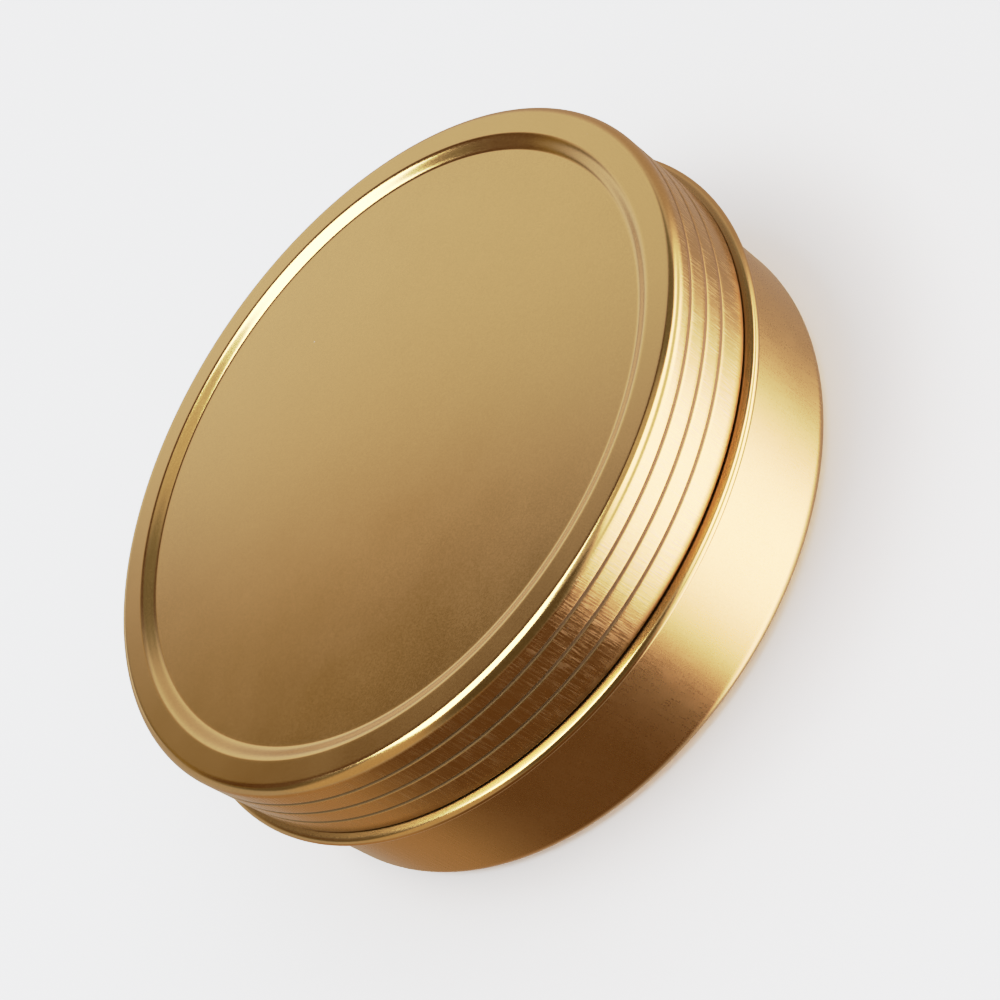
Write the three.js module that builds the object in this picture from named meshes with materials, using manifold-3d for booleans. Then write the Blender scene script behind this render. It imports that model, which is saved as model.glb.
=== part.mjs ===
// A shallow round screw-top tin. One sheet of metal is drawn into the cup, a second is pressed into
// the lid, and a foam disc in the lid seals on the cup's curled rim. The threads are rolled into
// both sheets, so each thread is a groove on one side of the metal and a ridge on the other.
// Millimetres, +Z up, origin at the centre of the face that the tin stands on.
import * as THREE from 'three';
import { mergeVertices } from 'three/addons/utils/BufferGeometryUtils.js';
import Module from 'manifold-3d';

const wasm = await Module();
wasm.setup();

const degrees = Math.PI / 180;
const segments = 48;
const sheet = 0.35;

// Lid: outside sizes.
const height = 33.2;
const lidRadius = 50;
const lidEdgeZ = 20.1;
const shoulderRadius = 2.2;
const ringInnerRadius = 45.7;
const panelRadius = 43.3;
const panelDepth = 0.95;

// Cup: outside sizes.
const wallRadius = 48.9;
const cornerRadius = 3;
const footInnerRadius = 42.4;
const baseRadius = 40.4;
const baseRise = 0.8;
const beadRadius = 51.3;
const beadNose = 0.64;
const beadNoseZ = 18.85;
const ledgeZ = 19.82;
const ledgeSlope = 23.5 * degrees;
const beadFillet = 0.4;
const neckRadius = 48.7;
const rimZ = 30.2;
const curlRadius = 1;
const curlSweep = 255 * degrees;

// Thread: one right-hand start. The cup's ridge runs half a lead below the lid's groove.
const lead = 3;
const lidThread = { startAngle: 120 * degrees, startZ: 22.8, turns: 2.7, depth: 0.55 };
const neckThread = { startAngle: 180 * degrees, startZ: 21.8, turns: 2.2, depth: 0.6 };
const runOutTurns = 0.12;

// Liner.
const linerRadius = 48.6;
const linerThickness = 1;
const linerBelowPanel = 0.3;

const satinGold = { color: 0xb98d45, metalness: 1, roughness: 0.32 };
const whiteFoam = { color: 0xefece4, metalness: 0, roughness: 0.9 };

const point = (radius, z) => new THREE.Vector2(radius, z);

// Points on an arc about a centre; an angle of 0 points outwards and 90 degrees points up.
function arc(centre, radius, from, to, steps) {
  const points = [];
  for (let i = 0; i <= steps; i += 1) {
    const angle = from + ((to - from) * i) / steps;
    points.push(point(centre.x + radius * Math.cos(angle), centre.y + radius * Math.sin(angle)));
  }
  return points;
}

// Points on a soft S from one level to another, both ends level.
function softStep(from, to, steps) {
  const points = [];
  for (let i = 0; i <= steps; i += 1) {
    const share = i / steps;
    const eased = (1 - Math.cos(Math.PI * share)) / 2;
    points.push(point(from.x + (to.x - from.x) * share, from.y + (to.y - from.y) * eased));
  }
  return points;
}

// The closed outline of a sheet whose middle line runs from the axis outwards.
function sheetOutline(middle) {
  const left = [];
  const right = [];
  middle.forEach((here, i) => {
    const before = middle[Math.max(i - 1, 0)];
    const after = middle[Math.min(i + 1, middle.length - 1)];
    const into = here.clone().sub(before).normalize();
    const outOf = after.clone().sub(here).normalize();
    const along = into.clone().add(outOf).normalize();
    const normal = point(-along.y, along.x);
    const bend = Math.max(along.dot(i === 0 ? outOf : into), 0.5);
    const offset = normal.multiplyScalar(sheet / 2 / bend);
    left.push(here.clone().add(offset));
    right.push(here.clone().sub(offset));
  });
  left[0].x = 0;
  right[0].x = 0;
  return [...right, ...left.reverse()];
}

// Revolves an outline that starts and ends on the axis.
function revolve(outline) {
  const geometry = new THREE.LatheGeometry(outline, segments);
  geometry.rotateX(Math.PI / 2);
  return geometry;
}

// A closed solid for joining and cutting, without the flat triangles that a lathe leaves on its axis.
function toSolid(geometry) {
  const bare = geometry.clone();
  bare.deleteAttribute('normal');
  bare.deleteAttribute('uv');
  const merged = mergeVertices(bare, 1e-4);
  const corners = merged.index.array;
  const triangles = [];
  for (let i = 0; i < corners.length; i += 3) {
    const [a, b, c] = corners.slice(i, i + 3);
    if (a !== b && b !== c && c !== a) triangles.push(a, b, c);
  }
  return new wasm.Manifold(new wasm.Mesh({
    numProp: 3,
    vertProperties: new Float32Array(merged.attributes.position.array),
    triVerts: new Uint32Array(triangles),
  }));
}

function toGeometry(solid) {
  const mesh = solid.getMesh();
  const geometry = new THREE.BufferGeometry();
  geometry.setAttribute('position', new THREE.BufferAttribute(mesh.vertProperties, 3));
  geometry.setIndex(new THREE.BufferAttribute(mesh.triVerts, 1));
  const faceted = geometry.toNonIndexed();
  faceted.computeVertexNormals();
  return faceted;
}

// A bar that winds up round the axis. Its section is a trapezium: a wide side at the root radius
// and a narrow side at the tip radius, which fades back to the surface radius at both ends.
function windingBar({ startAngle, startZ, turns }, { root, surface, tip, rootHalf, tipHalf }) {
  const steps = Math.round(turns * segments);
  const positions = [];
  for (let i = 0; i <= steps; i += 1) {
    const turned = i / segments;
    const toEnd = Math.min(turned, turns - turned) / runOutTurns;
    const full = THREE.MathUtils.smoothstep(toEnd, 0, 1);
    const tipNow = surface + (tip - surface) * full;
    const angle = startAngle + turned * 2 * Math.PI;
    const z = startZ + turned * lead;
    for (const [radius, dz] of [[root, -rootHalf], [tipNow, -tipHalf], [tipNow, tipHalf], [root, rootHalf]]) {
      positions.push(radius * Math.cos(angle), radius * Math.sin(angle), z + dz);
    }
  }
  const outward = tip > root;
  const triangles = [];
  const add = (a, b, c) => triangles.push(...(outward ? [a, b, c] : [a, c, b]));
  for (let i = 0; i < steps; i += 1) {
    for (let side = 0; side < 4; side += 1) {
      const a = i * 4 + side;
      const b = i * 4 + ((side + 1) % 4);
      add(a, a + 4, b);
      add(b, a + 4, b + 4);
    }
  }
  const last = steps * 4;
  add(0, 1, 2);
  add(0, 2, 3);
  add(last, last + 2, last + 1);
  add(last, last + 3, last + 2);
  const geometry = new THREE.BufferGeometry();
  geometry.setAttribute('position', new THREE.Float32BufferAttribute(positions, 3));
  geometry.setIndex(triangles);
  return toSolid(geometry);
}

function makeMesh(name, geometry, look) {
  const mesh = new THREE.Mesh(geometry, new THREE.MeshStandardMaterial(look));
  mesh.name = name;
  return mesh;
}

// Flat panel, soft step up to a flat ring, round shoulder, straight skirt.
function lidMiddleLine() {
  const top = height - sheet / 2;
  const skirt = lidRadius - sheet / 2;
  const shoulder = shoulderRadius - sheet / 2;
  const shoulderCentre = point(skirt - shoulder, top - shoulder);
  return [
    point(0, top - panelDepth),
    ...softStep(point(panelRadius, top - panelDepth), point(ringInnerRadius, top), 5),
    ...arc(shoulderCentre, shoulder, 90 * degrees, 0, 4),
    point(skirt, lidEdgeZ),
  ];
}

function screwLid() {
  const inside = lidRadius - sheet;
  const grooveTip = lidRadius - lidThread.depth;
  const ridge = windingBar(lidThread, {
    root: lidRadius - sheet / 2,
    surface: inside,
    tip: grooveTip - sheet,
    rootHalf: 0.8,
    tipHalf: 0.28,
  });
  const groove = windingBar(lidThread, {
    root: lidRadius + 0.3,
    surface: lidRadius + 0.1,
    tip: grooveTip,
    rootHalf: 0.68,
    tipHalf: 0.12,
  });
  const shell = toSolid(revolve(sheetOutline(lidMiddleLine())));
  return makeMesh('screw_lid', toGeometry(shell.add(ridge).subtract(groove)), satinGold);
}

// Raised base panel, foot ring, round corner, wall, hollow stop bead with a round nose and a ledge
// that falls away from under the lid, neck, curled rim.
function cupMiddleLine() {
  const half = sheet / 2;
  const wall = wallRadius - half;
  const neck = neckRadius - half;
  const corner = cornerRadius - half;
  const nose = beadNose - half;
  const noseCentre = point(beadRadius - beadNose, beadNoseZ);
  const noseEnd = 90 * degrees - ledgeSlope;
  const ledge = ledgeZ - half;
  const fall = noseCentre.y + nose * Math.sin(noseEnd) - ledge;
  const ledgeEdge = point(noseCentre.x + nose * Math.cos(noseEnd) + fall / Math.tan(ledgeSlope), ledge);
  const curl = curlRadius - half;
  return [
    point(0, baseRise + half),
    ...softStep(point(baseRadius, baseRise + half), point(footInnerRadius, half), 3),
    ...arc(point(wall - corner, half + corner), corner, -90 * degrees, 0, 4),
    ...arc(point(wall + beadFillet, beadNoseZ - nose - beadFillet), beadFillet, 180 * degrees, 90 * degrees, 2),
    ...arc(noseCentre, nose, -90 * degrees, noseEnd, 5),
    ledgeEdge,
    ...arc(point(neck + beadFillet, ledge + beadFillet), beadFillet, -90 * degrees, -180 * degrees, 2),
    ...arc(point(neck - curl, rimZ - half - curl), curl, 0, curlSweep, 6),
  ];
}

function tinCup() {
  const crest = neckRadius + neckThread.depth;
  const ridge = windingBar(neckThread, {
    root: neckRadius - sheet / 2,
    surface: neckRadius,
    tip: crest,
    rootHalf: 1,
    tipHalf: 0.4,
  });
  const hollow = windingBar(neckThread, {
    root: neckRadius - sheet - 0.3,
    surface: neckRadius - sheet - 0.1,
    tip: crest - sheet,
    rootHalf: 0.95,
    tipHalf: 0.2,
  });
  const shell = toSolid(revolve(sheetOutline(cupMiddleLine())));
  return makeMesh('tin_cup', toGeometry(shell.add(ridge).subtract(hollow)), satinGold);
}

// A flat disc held under the lid's panel.
function lidLiner() {
  const top = height - panelDepth - sheet - linerBelowPanel;
  const bottom = top - linerThickness;
  const outline = [point(0, bottom), point(linerRadius, bottom), point(linerRadius, top), point(0, top)];
  return makeMesh('lid_liner', revolve(outline), whiteFoam);
}

const tin = new THREE.Group();
tin.add(tinCup(), lidLiner(), screwLid());

export default tin;
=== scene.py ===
import math

import bmesh
import bpy
from mathutils import Matrix, Vector


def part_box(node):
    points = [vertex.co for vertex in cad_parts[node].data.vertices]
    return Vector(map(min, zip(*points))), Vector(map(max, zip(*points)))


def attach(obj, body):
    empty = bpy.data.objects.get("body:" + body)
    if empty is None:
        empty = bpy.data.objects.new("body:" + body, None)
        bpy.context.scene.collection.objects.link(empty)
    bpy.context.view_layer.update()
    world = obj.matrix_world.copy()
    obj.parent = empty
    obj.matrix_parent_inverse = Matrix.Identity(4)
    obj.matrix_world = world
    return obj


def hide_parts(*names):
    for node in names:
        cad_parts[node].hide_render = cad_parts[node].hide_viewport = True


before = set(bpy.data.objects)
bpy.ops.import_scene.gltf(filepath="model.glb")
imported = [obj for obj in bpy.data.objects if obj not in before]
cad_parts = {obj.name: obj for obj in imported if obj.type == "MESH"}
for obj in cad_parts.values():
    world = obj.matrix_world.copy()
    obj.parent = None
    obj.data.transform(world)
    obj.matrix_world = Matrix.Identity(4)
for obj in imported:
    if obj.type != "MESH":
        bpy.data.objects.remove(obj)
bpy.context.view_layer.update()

MM = 0.001
TURN = 2 * math.pi

CUP_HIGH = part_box("tin_cup")[1]
LID_LOW, LID_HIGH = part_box("screw_lid")
LINER_LOW, LINER_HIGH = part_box("lid_liner")

COLUMNS = 236
ON_AXIS = 1e-7
SHEET = 0.35 * MM

# Lid, outside sizes.
LID_RADIUS = LID_HIGH.x
LID_TOP = LID_HIGH.z
LID_EDGE = LID_LOW.z
SHOULDER = 1.4 * MM
RING_INNER = 45.7 * MM
PANEL_RADIUS = 43.3 * MM
PANEL_DEPTH = 0.95 * MM

# Cup, outside sizes.
BEAD_RADIUS = 51.3 * MM
RIM_TOP = CUP_HIGH.z
WALL_RADIUS = 48.9 * MM
CORNER = 3.0 * MM
FOOT_INNER = 42.4 * MM
BASE_RADIUS = 40.4 * MM
BASE_RISE = 0.8 * MM
BEAD_NOSE = 0.7 * MM
BEAD_NOSE_Z = 18.93 * MM
LEDGE_Z = 19.82 * MM
LEDGE_SLOPE = 15
BEAD_FILLET = 0.4 * MM
NECK_RADIUS = 48.7 * MM
CURL = 1.0 * MM
CURL_SWEEP = 255

# Threads, one right-hand start. The cup's ridge runs half a lead below the lid's groove.
LEAD = 3.0 * MM
RUN_OUT = 0.12
LID_THREAD = {"start": 120, "z": 22.83 * MM, "turns": 2.7, "depth": -0.24 * MM}
NECK_THREAD = {"start": 180, "z": 21.8 * MM, "turns": 2.2, "depth": 0.58 * MM}
ROWS_ON_FLANK = 8
ROWS_BETWEEN = 4


# Outlines: a point is (radius, z), and a line runs from the axis outwards.

def arc(centre, radius, start, end, steps):
    """Points on an arc, in degrees: 0 points away from the axis and 90 points up."""
    points = []
    for i in range(steps + 1):
        angle = math.radians(start + (end - start) * i / steps)
        points.append((centre[0] + radius * math.cos(angle), centre[1] + radius * math.sin(angle)))
    return points


def soft_step(start, end, steps):
    """Points on a soft S between two levels."""
    points = []
    for i in range(steps + 1):
        share = i / steps
        eased = (1 - math.cos(math.pi * share)) / 2
        points.append((start[0] + (end[0] - start[0]) * share, start[1] + (end[1] - start[1]) * eased))
    return points


def straight(start, end, steps):
    """Points inside a straight run, with one close to each end so that shading stays flat up to it."""
    a, b = Vector(start), Vector(end)
    inset = min(0.25 * MM / (b - a).length, 0.25)
    shares = [inset] + [i / steps for i in range(1, steps)] + [1 - inset]
    return [tuple(a.lerp(b, share)) for share in shares]


def sheet_outline(middle, threaded, left_thread, right_thread):
    """Rings [radius, z, burnish, thread] on both faces of a sheet.

    They run from the axis along the left face of its middle line, round the free edge, and back. The
    stretch after the middle line's point number `threaded` carries the threads. Burnish is 0 on the
    flat, up to 0.9 at a tight bend, and 1 on the free edge.
    """
    line = [Vector(p) for p in middle]
    left, right = [], []
    for i, here in enumerate(line):
        before = line[max(i - 1, 0)]
        after = line[min(i + 1, len(line) - 1)]
        along = (after - before).normalized()
        across = Vector((-along.y, along.x)) * SHEET / 2
        bend = 0.0
        if 0 < i < len(line) - 1:
            reach = min((here - before).length, (after - here).length)
            bend = min(abs((here - before).angle_signed(after - here)) / reach * MM, 0.9)
        left.append([*(here + across), bend, None])
        right.append([*(here - across), bend, None])
    left[threaded][3] = left_thread
    right[threaded + 1][3] = right_thread
    heading = (line[-1] - line[-2]).normalized()
    sideways = Vector((-heading.y, heading.x))
    edge = []
    for degrees in (60, 30, 0, -30, -60):
        angle = math.radians(degrees)
        offset = sideways * math.sin(angle) + heading * math.cos(angle)
        edge.append([*(line[-1] + offset * SHEET / 2), 1.0, None])
    return left + edge + right[::-1]


# Threads: rows of points that climb with the thread, so that its lips run clean.

def thread_rows(thread, base, angle, low, high):
    """(key, radius, z, burnish) up one column of a threaded wall, between two heights.

    Burnish is negative here: -1 along the middle of the roll-formed thread, which is matt and carries
    painted shade.
    """
    below, above = thread["below"], thread["above"]
    offsets = [-below * (1 - k / ROWS_ON_FLANK) for k in range(ROWS_ON_FLANK)]
    offsets += [above * k / ROWS_ON_FLANK for k in range(ROWS_ON_FLANK + 1)]
    gap = LEAD - below - above
    offsets += [above + gap * k / (ROWS_BETWEEN + 1) for k in range(1, ROWS_BETWEEN + 1)]
    rows = []
    start = math.radians(thread["start"])
    first = int((low - thread["z"]) / LEAD) - 2
    last = int((high - thread["z"]) / LEAD) + 2
    for n in range(first, last + 1):
        turned = (angle - start) / TURN + n
        fade = min(max(min(turned, thread["turns"] - turned) / RUN_OUT, 0.0), 1.0)
        fade = fade * fade * (3 - 2 * fade)
        for k, offset in enumerate(offsets):
            z = thread["z"] + turned * LEAD + offset
            if low + 0.01 * MM < z < high - 0.01 * MM:
                along = max(-offset / below, offset / above)
                rise = fade * (1 + math.cos(math.pi * min(along, 1.0))) / 2
                rows.append(((n, k), base + thread["depth"] * rise, z, -rise))
    return rows


def column_points(outline, angle):
    """(key, radius, z, burnish) along the whole outline at one angle round the axis."""
    points = []
    for i, (radius, z, burnish, thread) in enumerate(outline):
        points.append(((i, None, 0), max(radius, 0.0), z, burnish))
        if thread:
            end_z = outline[i + 1][1]
            rows = thread_rows(thread, radius, angle, min(z, end_z), max(z, end_z))
            if end_z < z:
                rows.reverse()
            points += [((i, n, k), r, row_z, b) for (n, k), r, row_z, b in rows]
    return points


def strip_faces(here, there):
    """Faces between two neighbouring columns of (key, vertex), joined where their keys agree."""
    place = {key: i for i, (key, _) in enumerate(there)}
    shared = [(i, place[key]) for i, (key, _) in enumerate(here) if key in place]
    faces = []
    for (a, b), (c, d) in zip(shared, shared[1:]):
        ring = [v for _, v in here[a:c + 1]] + [v for _, v in reversed(there[b:d + 1])]
        corners = [v for i, v in enumerate(ring) if v != ring[i - 1]]
        if len(corners) > 2:
            faces.append(corners)
    return faces


def turned_mesh(name, outline):
    """A closed mesh of the outline turned round the axis, with its point attribute "burnish"."""
    vertices, values, columns, poles = [], [], [], {}
    for c in range(COLUMNS):
        angle = TURN * c / COLUMNS
        column = []
        for key, radius, z, burnish in column_points(outline, angle):
            on_axis = radius < ON_AXIS
            if on_axis and key in poles:
                column.append((key, poles[key]))
                continue
            if on_axis:
                poles[key] = len(vertices)
            column.append((key, len(vertices)))
            vertices.append((radius * math.cos(angle), radius * math.sin(angle), z))
            values.append(burnish)
        columns.append(column)
    after_seam = [((i, None if n is None else n - 1, k), v) for (i, n, k), v in columns[0]]
    faces = []
    for here, there in zip(columns, columns[1:] + [after_seam]):
        faces += strip_faces(here, there)
    mesh = bpy.data.meshes.new(name)
    mesh.from_pydata(vertices, [], faces)
    attribute = mesh.attributes.new("burnish", "FLOAT", "POINT")
    attribute.data.foreach_set("value", values)
    tidy = bmesh.new()
    tidy.from_mesh(mesh)
    bmesh.ops.recalc_face_normals(tidy, faces=tidy.faces)
    tidy.to_mesh(mesh)
    tidy.free()
    mesh.polygons.foreach_set("use_smooth", [True] * len(mesh.polygons))
    return mesh


def add_piece(name, outline, material, body, node):
    mesh = turned_mesh(name, outline)
    mesh.materials.append(material)
    piece = bpy.data.objects.new(name, mesh)
    bpy.context.scene.collection.objects.link(piece)
    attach(piece, body)
    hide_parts(node)
    return piece


# Outlines of the three pieces.

def lid_outline():
    top = LID_TOP - SHEET / 2
    skirt = LID_RADIUS - SHEET / 2
    bend = SHOULDER - SHEET / 2
    bottom = LID_EDGE + SHEET / 2
    panel_edge = (PANEL_RADIUS, top - PANEL_DEPTH)
    corner = (skirt - bend, top - bend)
    middle = [(0, top - PANEL_DEPTH)]
    middle += straight(middle[0], panel_edge, 12)
    middle += soft_step(panel_edge, (RING_INNER, top), 24)
    middle += straight((RING_INNER, top), (corner[0], top), 2)
    middle += arc(corner, bend, 90, 0, 20)
    middle.append((skirt, corner[1] - 0.2 * MM))
    threaded = len(middle) - 1
    middle.append((skirt, bottom + 0.3 * MM))
    middle.append((skirt, bottom))
    outside = dict(LID_THREAD, below=0.3 * MM, above=0.38 * MM)
    inside = dict(LID_THREAD, below=0.45 * MM, above=0.5 * MM)
    return sheet_outline(middle, threaded, outside, inside)


def cup_outline():
    half = SHEET / 2
    wall = WALL_RADIUS - half
    neck = NECK_RADIUS - half
    corner = CORNER - half
    curl = CURL - half
    nose = BEAD_NOSE - half
    nose_centre = (BEAD_RADIUS - BEAD_NOSE, BEAD_NOSE_Z)
    under = BEAD_NOSE_Z - nose - BEAD_FILLET
    ledge = LEDGE_Z - half
    over = ledge + BEAD_FILLET
    curl_z = RIM_TOP - half - curl
    base_edge = (BASE_RADIUS, BASE_RISE + half)
    middle = [(0, BASE_RISE + half)]
    middle += straight(middle[0], base_edge, 12)
    middle += soft_step(base_edge, (FOOT_INNER, half), 16)
    middle += straight((FOOT_INNER, half), (wall - corner, half), 2)
    middle += arc((wall - corner, half + corner), corner, -90, 0, 20)
    middle += straight((wall, half + corner), (wall, under), 8)
    middle += arc((wall + BEAD_FILLET, under), BEAD_FILLET, 180, 90, 8)
    middle += arc(nose_centre, nose, -90, 90 - LEDGE_SLOPE, 24)
    run = (middle[-1][1] - ledge) / math.tan(math.radians(LEDGE_SLOPE))
    soft = 0.3 * MM
    middle += arc((middle[-1][0] + run, ledge - soft), soft, 90 - LEDGE_SLOPE, 90, 4)
    middle += arc((neck + BEAD_FILLET, over), BEAD_FILLET, -90, -180, 8)
    middle.append((neck, over + 0.1 * MM))
    threaded = len(middle) - 1
    middle.append((neck, curl_z - 0.1 * MM))
    middle += arc((neck - curl, curl_z), curl, 0, CURL_SWEEP, 28)
    inside = dict(NECK_THREAD, below=0.85 * MM, above=0.85 * MM)
    outside = dict(NECK_THREAD, below=1.0 * MM, above=1.0 * MM)
    return sheet_outline(middle, threaded, inside, outside)


def liner_outline():
    """A foam disc with soft edges and the dent that the curled rim presses into its underside."""
    radius = LINER_HIGH.x
    soft = 0.3 * MM
    dent_radius = NECK_RADIUS - CURL
    dent_half = 1.1 * MM
    low, high = LINER_LOW.z, LINER_HIGH.z
    rings = [[0.0, high, 0.0, None]]
    rings += [[r, z, 0.0, None] for r, z in arc((radius - soft, high - soft), soft, 90, 0, 6)]
    rings += [[r, z, 0.0, None] for r, z in arc((radius - soft, low + soft), soft, 0, -80, 6)]
    for i in range(13):
        along = dent_half * (1 - i / 6)
        press = 0.18 * MM * (1 + math.cos(math.pi * along / dent_half)) / 2
        if dent_radius + along < radius - soft:
            rings.append([dent_radius + along, low + press, 0.0, None])
    rings.append([0.0, low, 0.0, None])
    return rings


# Materials.


class Nodes:
    """A short hand for building a node tree."""

    def __init__(self, tree):
        tree.nodes.clear()
        self.tree = tree

    def add(self, kind, inputs=None, **settings):
        node = self.tree.nodes.new(kind)
        for name, value in settings.items():
            setattr(node, name, value)
        for name, value in (inputs or {}).items():
            socket = node.inputs[name]
            if isinstance(value, bpy.types.NodeSocket):
                self.tree.links.new(value, socket)
            else:
                socket.default_value = value
        return node

    def math(self, operation, *values):
        inputs = dict(enumerate(values))
        return self.add("ShaderNodeMath", inputs, operation=operation).outputs[0]

    def remap(self, value, low, high, to_low=0.0, to_high=1.0, smooth=False):
        inputs = {"Value": value, "From Min": low, "From Max": high, "To Min": to_low, "To Max": to_high}
        kind = "SMOOTHSTEP" if smooth else "LINEAR"
        return self.add("ShaderNodeMapRange", inputs, interpolation_type=kind).outputs[0]

    def mix(self, share, one, other):
        node = self.add("ShaderNodeMix", {0: share, 6: one, 7: other}, data_type="RGBA")
        return node.outputs[2]

    def noise(self, coords, stretch, detail=2.0, roughness=0.5):
        """Noise whose blobs are stretch metres long along each axis."""
        scaled = self.add("ShaderNodeMapping", {"Vector": coords, "Scale": [1 / s for s in stretch]})
        inputs = {"Vector": scaled.outputs[0], "Scale": 1.0, "Detail": detail, "Roughness": roughness}
        return self.add("ShaderNodeTexNoise", inputs).outputs[0]


def painted_shade_under_lid(n, coords):
    """1 on the ledge of the bead, close under the lid, where shade falls: there the colour gets painted
    shade and the metal is made duller.
    """
    z = n.add("ShaderNodeSeparateXYZ", {0: coords}).outputs[2]
    on_ledge = n.remap(z, LEDGE_Z - 0.25 * MM, LEDGE_Z - 0.1 * MM, smooth=True)
    near_edge = n.remap(z, LID_EDGE + 0.2 * MM, LID_EDGE + 1.4 * MM, 1.0, 0.0, smooth=True)
    return n.math("MULTIPLY", on_ledge, near_edge)


def tiny_nicks(n, coords):
    """1 in small round nicks, in about one cell in five of a 6 mm pattern."""
    cells = n.add("ShaderNodeTexVoronoi", {"Vector": coords, "Scale": 1 / (6 * MM)})
    chance = n.add("ShaderNodeSeparateColor", {0: cells.outputs["Color"]}).outputs[0]
    size = n.remap(chance, 0.8, 1.0, 0.0, 0.025)
    return n.math("LESS_THAN", cells.outputs["Distance"], size)


def gold_lacquer(name, lines, relief):
    """Sheet metal under a gold lacquer: satin on the flats, shiny at bends, matt in roll-formed grooves.
    The grooves and the ledge under the lid are darkened with painted shade.

    Walls carry fine drawn lines: lines is how much they show, relief is how deep they are.
    """
    material = bpy.data.materials.new(name)
    material.use_nodes = True
    n = Nodes(material.node_tree)
    coords = n.add("ShaderNodeTexCoord").outputs["Object"]
    bent = n.add("ShaderNodeAttribute", attribute_name="burnish").outputs["Fac"]
    normal = n.add("ShaderNodeNewGeometry").outputs["Normal"]
    tilt = n.math("ABSOLUTE", n.add("ShaderNodeSeparateXYZ", {0: normal}).outputs[2])
    upright = n.remap(tilt, 0.15, 0.6, 1.0, 0.0, smooth=True)

    draw_lines = n.noise(coords, (0.20 * MM, 0.20 * MM, 3.5 * MM), detail=2.0, roughness=0.6)
    draw_patches = n.noise(coords, (2.5 * MM, 2.5 * MM, 2.5 * MM))
    grain = n.noise(coords, (0.22 * MM, 0.22 * MM, 0.22 * MM), detail=1.0)
    cloud = n.noise(coords, (9 * MM, 9 * MM, 9 * MM), detail=2.0)
    drawn = n.math("MULTIPLY", n.remap(draw_patches, 0.35, 0.65, 0.4, 1.0), upright)

    groove_matt_and_shade = n.remap(bent, -0.4, 0.0, 1.0, 0.0, smooth=True)
    under_lid_shade = painted_shade_under_lid(n, coords)

    satin = n.remap(bent, 0.1, 0.8, 0.30 - 0.11 * lines, 0.14, smooth=True)
    satin = n.math("MULTIPLY_ADD", groove_matt_and_shade, 0.35, satin)
    satin = n.math("MULTIPLY_ADD", under_lid_shade, 0.15, satin)
    lined = n.remap(draw_lines, 0.35, 0.65, -0.04 * lines, 0.20 * lines)
    roughness = n.math("MULTIPLY_ADD", lined, drawn, satin)
    roughness = n.math("ADD", roughness, n.remap(grain, 0.3, 0.7, -0.015, 0.015))
    roughness = n.math("ADD", roughness, n.remap(cloud, 0.35, 0.65, -0.01, 0.01))

    speckle = n.math("MULTIPLY_ADD", n.remap(grain, 0.3, 0.7), 0.7, n.remap(cloud, 0.3, 0.7, 0.0, 0.3))
    lacquer = n.mix(speckle, (0.695, 0.474, 0.178, 1), (0.80, 0.548, 0.216, 1))
    worn_lines = n.math("MULTIPLY", n.remap(draw_lines, 0.5, 0.75, 0.0, 0.8 * lines), drawn)
    streaked = n.mix(worn_lines, lacquer, (0.80, 0.60, 0.32, 1))
    # Painted shade: the ledge close under the lid is tinted dark brown.
    streaked = n.mix(n.math("MULTIPLY", under_lid_shade, 0.7), streaked, (0.32, 0.17, 0.045, 1))
    # Painted shade: the thread grooves are darkened to brown.
    streaked = n.mix(groove_matt_and_shade, streaked, (0.27, 0.185, 0.09, 1))
    bare = n.math("MULTIPLY", n.remap(bent, 0.92, 1.0), n.remap(grain, 0.5, 0.75))
    colour = n.mix(n.math("MAXIMUM", bare, tiny_nicks(n, coords)), streaked, (0.86, 0.76, 0.58, 1))

    depth = n.math("MULTIPLY", draw_lines, n.math("MULTIPLY", drawn, relief / MM))
    height = n.math("MULTIPLY_ADD", grain, 0.00012, depth)
    bump = n.add("ShaderNodeBump", {"Strength": 1.0, "Distance": MM, "Height": height}).outputs[0]

    inputs = {
        "Base Color": colour,
        "Metallic": 1.0,
        "Roughness": roughness,
        "Normal": bump,
        "Coat Weight": 0.15,
        "Coat Roughness": 0.15,
        "Coat IOR": 1.5,
    }
    shader = n.add("ShaderNodeBsdfPrincipled", inputs).outputs[0]
    n.add("ShaderNodeOutputMaterial", {"Surface": shader})
    return material


def liner_foam():
    """Fine white closed-cell foam."""
    material = bpy.data.materials.new("liner_foam")
    material.use_nodes = True
    n = Nodes(material.node_tree)
    coords = n.add("ShaderNodeTexCoord").outputs["Object"]
    cells_at = {"Vector": coords, "Scale": 1 / (0.4 * MM)}
    cells = n.add("ShaderNodeTexVoronoi", cells_at).outputs["Distance"]
    cloud = n.noise(coords, (6 * MM, 6 * MM, 6 * MM), detail=3.0)
    colour = n.mix(n.remap(cloud, 0.3, 0.7), (0.80, 0.79, 0.75, 1), (0.86, 0.85, 0.82, 1))
    bump = n.add("ShaderNodeBump", {"Strength": 1.0, "Distance": 0.03 * MM, "Height": cells}).outputs[0]
    roughness = n.remap(cells, 0.0, 0.6, 0.7, 0.9)
    inputs = {"Base Color": colour, "Roughness": roughness, "Normal": bump, "Specular IOR Level": 0.3}
    shader = n.add("ShaderNodeBsdfPrincipled", inputs).outputs[0]
    n.add("ShaderNodeOutputMaterial", {"Surface": shader})
    return material


def pale_floor():
    material = bpy.data.materials.new("pale_floor")
    material.use_nodes = True
    n = Nodes(material.node_tree)
    coords = n.add("ShaderNodeTexCoord").outputs["Object"]
    cloud = n.noise(coords, (0.4, 0.4, 0.4))
    colour = n.mix(n.remap(cloud, 0.3, 0.7), (0.79, 0.80, 0.81, 1), (0.81, 0.81, 0.82, 1))
    shader = n.add("ShaderNodeBsdfPrincipled", {"Base Color": colour, "Roughness": 0.8}).outputs[0]
    n.add("ShaderNodeOutputMaterial", {"Surface": shader})
    return material


# Stage: floor, light and camera.

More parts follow.
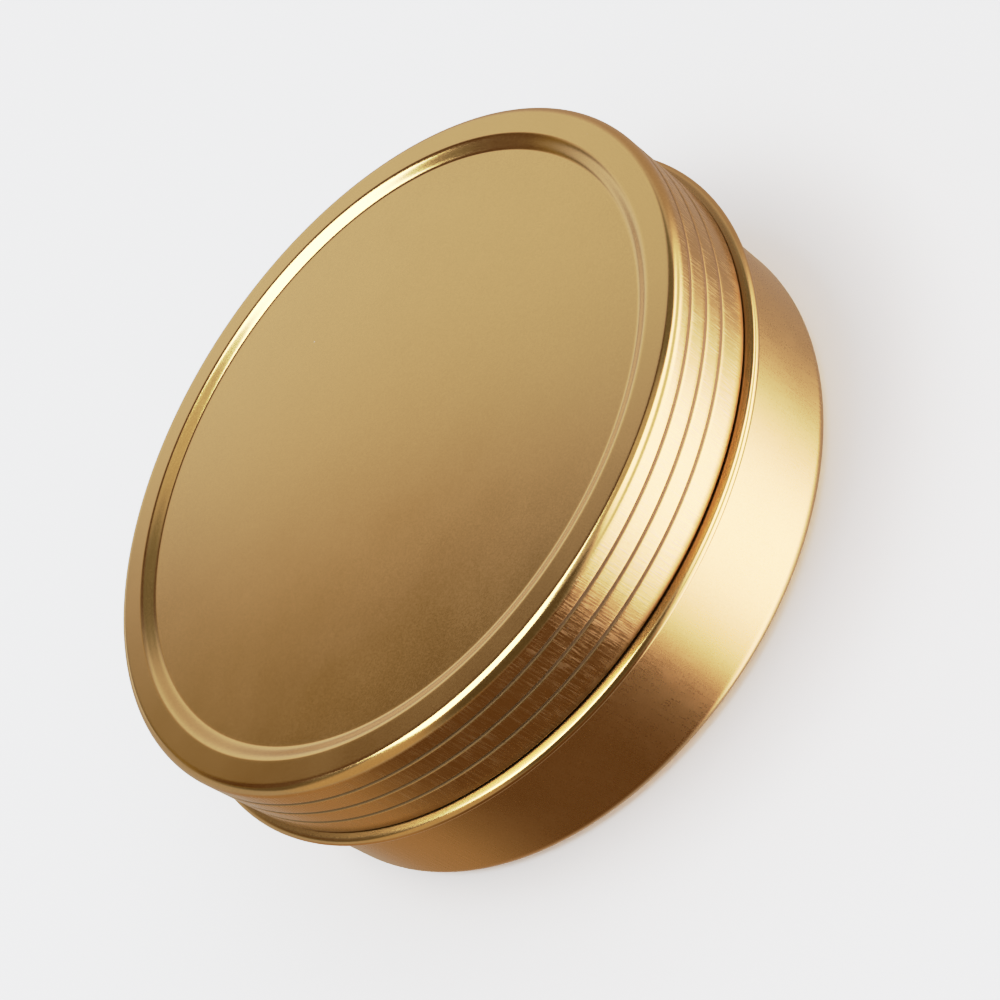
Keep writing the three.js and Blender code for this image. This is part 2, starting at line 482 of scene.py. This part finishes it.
def make_floor():
    mesh = bpy.data.meshes.new("floor")
    shape = bmesh.new()
    bmesh.ops.create_circle(shape, cap_ends=True, segments=128, radius=6.0)
    shape.to_mesh(mesh)
    shape.free()
    mesh.materials.append(pale_floor())
    floor = bpy.data.objects.new("floor", mesh)
    bpy.context.scene.collection.objects.link(floor)
    floor.visible_glossy = False


def heading(azimuth, elevation):
    """Unit vector at an azimuth from +X and an elevation, in degrees."""
    a, e = math.radians(azimuth), math.radians(elevation)
    return Vector((math.cos(a) * math.cos(e), math.sin(a) * math.cos(e), math.sin(e)))


def dot(n, one, other):
    return n.add("ShaderNodeVectorMath", {0: one, 1: other}, operation="DOT_PRODUCT").outputs["Value"]


def add_patch(n, light, towards, patch):
    """Lays a soft-edged patch of colour on the room's light, round a direction."""
    axis = heading(*patch["at"])
    side = Vector((-axis.y, axis.x, 0)).normalized()
    top = axis.cross(side)
    ahead = dot(n, towards, axis)
    inside = n.remap(ahead, 0.02, 0.1)
    for across, span in zip((side, top), patch["size"]):
        offset = n.math("DIVIDE", dot(n, towards, across), n.math("MAXIMUM", ahead, 0.02))
        reach = n.math("ABSOLUTE", offset)
        edge = math.tan(math.radians(span / 2))
        fade = math.tan(math.radians(min(span / 2 + patch["blur"], 85)))
        inner = math.tan(math.radians(max(span / 2 - patch["blur"], 0)))
        inside = n.math("MULTIPLY", inside, n.remap(reach, inner, fade, 1.0, 0.0, smooth=True))
    return n.mix(inside, light, patch["colour"])


def light_room(patches):
    """A pale, even room. Only gloss sees the patches."""
    world = bpy.data.worlds.new("room")
    bpy.context.scene.world = world
    world.use_nodes = True
    n = Nodes(world.node_tree)
    towards = n.add("ShaderNodeTexCoord").outputs["Generated"]
    mirrored = (0.45, 0.40, 0.37, 1)
    for patch in patches:
        mirrored = add_patch(n, mirrored, towards, patch)
    pale = (1.33, 1.34, 1.36, 1)
    glossy = n.add("ShaderNodeLightPath").outputs["Is Glossy Ray"]
    colour = n.mix(glossy, pale, mirrored)
    background = n.add("ShaderNodeBackground", {"Color": colour, "Strength": 1.0}).outputs[0]
    n.add("ShaderNodeOutputWorld", {"Surface": background})


def soft_box(azimuth, elevation, distance, width, height, radiance):
    """A rectangular soft light that faces the tin."""
    data = bpy.data.lights.new("soft_box", "AREA")
    data.shape = "RECTANGLE"
    data.size = width
    data.size_y = height
    data.energy = radiance * math.pi * width * height
    light = bpy.data.objects.new("soft_box", data)
    light.location = heading(azimuth, elevation) * distance
    facing = light.location.to_track_quat("Z", "Y").to_matrix().to_4x4()
    light.matrix_world = Matrix.Translation(light.location) @ facing
    bpy.context.scene.collection.objects.link(light)


def place_camera(elevation, roll, distance, lens, right_of_lid, above_lid):
    """Looks along +Y and down, aimed off the lid's top centre by two offsets. Roll tilts the frame."""
    down = math.radians(elevation)
    forward = Vector((0, math.cos(down), -math.sin(down)))
    level = Vector((1, 0, 0))
    upward = level.cross(forward)
    turn = math.radians(roll)
    right = level * math.cos(turn) + upward * math.sin(turn)
    up = upward * math.cos(turn) - level * math.sin(turn)
    centre = Vector((0, 0, LID_TOP)) + right * right_of_lid + up * above_lid
    data = bpy.data.cameras.new("camera")
    data.lens = lens
    data.sensor_width = 36
    data.clip_start = 0.01
    camera = bpy.data.objects.new("camera", data)
    camera.matrix_world = Matrix((right, up, -forward)).transposed().to_4x4()
    camera.location = centre - forward * distance
    bpy.context.scene.collection.objects.link(camera)
    bpy.context.scene.camera = camera


def soften_highlights():
    """Bright tones roll off to white as on film. A level is scene light, and shown is what it gives."""
    brightest = 5.0
    view = bpy.context.scene.view_settings
    view.view_transform = "Standard"
    view.use_curve_mapping = True
    view.curve_mapping.white_level = (brightest, brightest, brightest)
    curve = view.curve_mapping.curves[3]
    mid_tones = ((0.2, 0.205), (0.42, 0.44), (0.62, 0.59), (0.8, 0.665))
    light_tones = ((1.1, 0.74), (1.6, 0.845), (2.1, 0.91), (3.1, 0.985))
    for level, shown in mid_tones + light_tones:
        curve.points.new(level / brightest, shown)
    view.curve_mapping.update()


cup_lacquer = gold_lacquer("cup_lacquer", lines=0.2, relief=0.0002 * MM)
add_piece("cup", cup_outline(), cup_lacquer, "tin", "tin_cup")
lid_lacquer = gold_lacquer("lid_lacquer", lines=1.0, relief=0.014 * MM)
add_piece("lid", lid_outline(), lid_lacquer, "lid", "screw_lid")
add_piece("liner", liner_outline(), liner_foam(), "liner", "lid_liner")

make_floor()

# What the metal mirrors, in degrees: (azimuth, elevation) and (width, height). Later patches lie over
# earlier ones. They are set so that the lights and darks fall where the photograph has them.
# The one at (318, 14) is not for that: it keeps the lid's panel from washing out when seen from behind.
light_room([
    {"at": (82, 24), "size": (60, 34), "blur": 8, "colour": (0.79, 0.76, 0.84, 1)},
    {"at": (130, 39), "size": (54, 30), "blur": 5, "colour": (0.13, 0.09, 0.045, 1)},
    {"at": (75, 44), "size": (90, 18), "blur": 4, "colour": (0.46, 0.31, 0.06, 1)},
    {"at": (75, 49), "size": (90, 23), "blur": 2, "colour": (0.10, 0.038, 0.004, 1)},
    {"at": (51, 36), "size": (60, 18), "blur": 4, "colour": (0.74, 0.71, 0.74, 1)},
    {"at": (189, 30), "size": (48, 60), "blur": 8, "colour": (0.55, 0.42, 0.28, 1)},
    {"at": (241, 28), "size": (54, 80), "blur": 9, "colour": (0.11, 0.075, 0.035, 1)},
    {"at": (190, -40), "size": (90, 60), "blur": 10, "colour": (0.40, 0.25, 0.13, 1)},
    {"at": (229, -45), "size": (76, 60), "blur": 12, "colour": (0.14, 0.065, 0.025, 1)},
    {"at": (327, -10), "size": (76, 154), "blur": 22, "colour": (4.6, 3.7, 3.8, 1)},
    {"at": (318, 14), "size": (84, 28), "blur": 8, "colour": (1.1, 0.93, 0.88, 1)},
    {"at": (38, -25), "size": (70, 100), "blur": 24, "colour": (0.44, 0.34, 0.28, 1)},
    {"at": (30, 74), "size": (46, 22), "blur": 4, "colour": (0.6, 0.52, 0.42, 1)},
    {"at": (25, 52), "size": (46, 22), "blur": 6, "colour": (0.16, 0.13, 0.08, 1)},
])
soft_box(azimuth=160, elevation=72, distance=2.4, width=1.95, height=1.25, radiance=7)
place_camera(
    elevation=36.8,
    roll=-56.5,
    distance=0.2859,
    lens=79.2,
    right_of_lid=16.5 * MM,
    above_lid=-8.8 * MM,
)

soften_highlights()
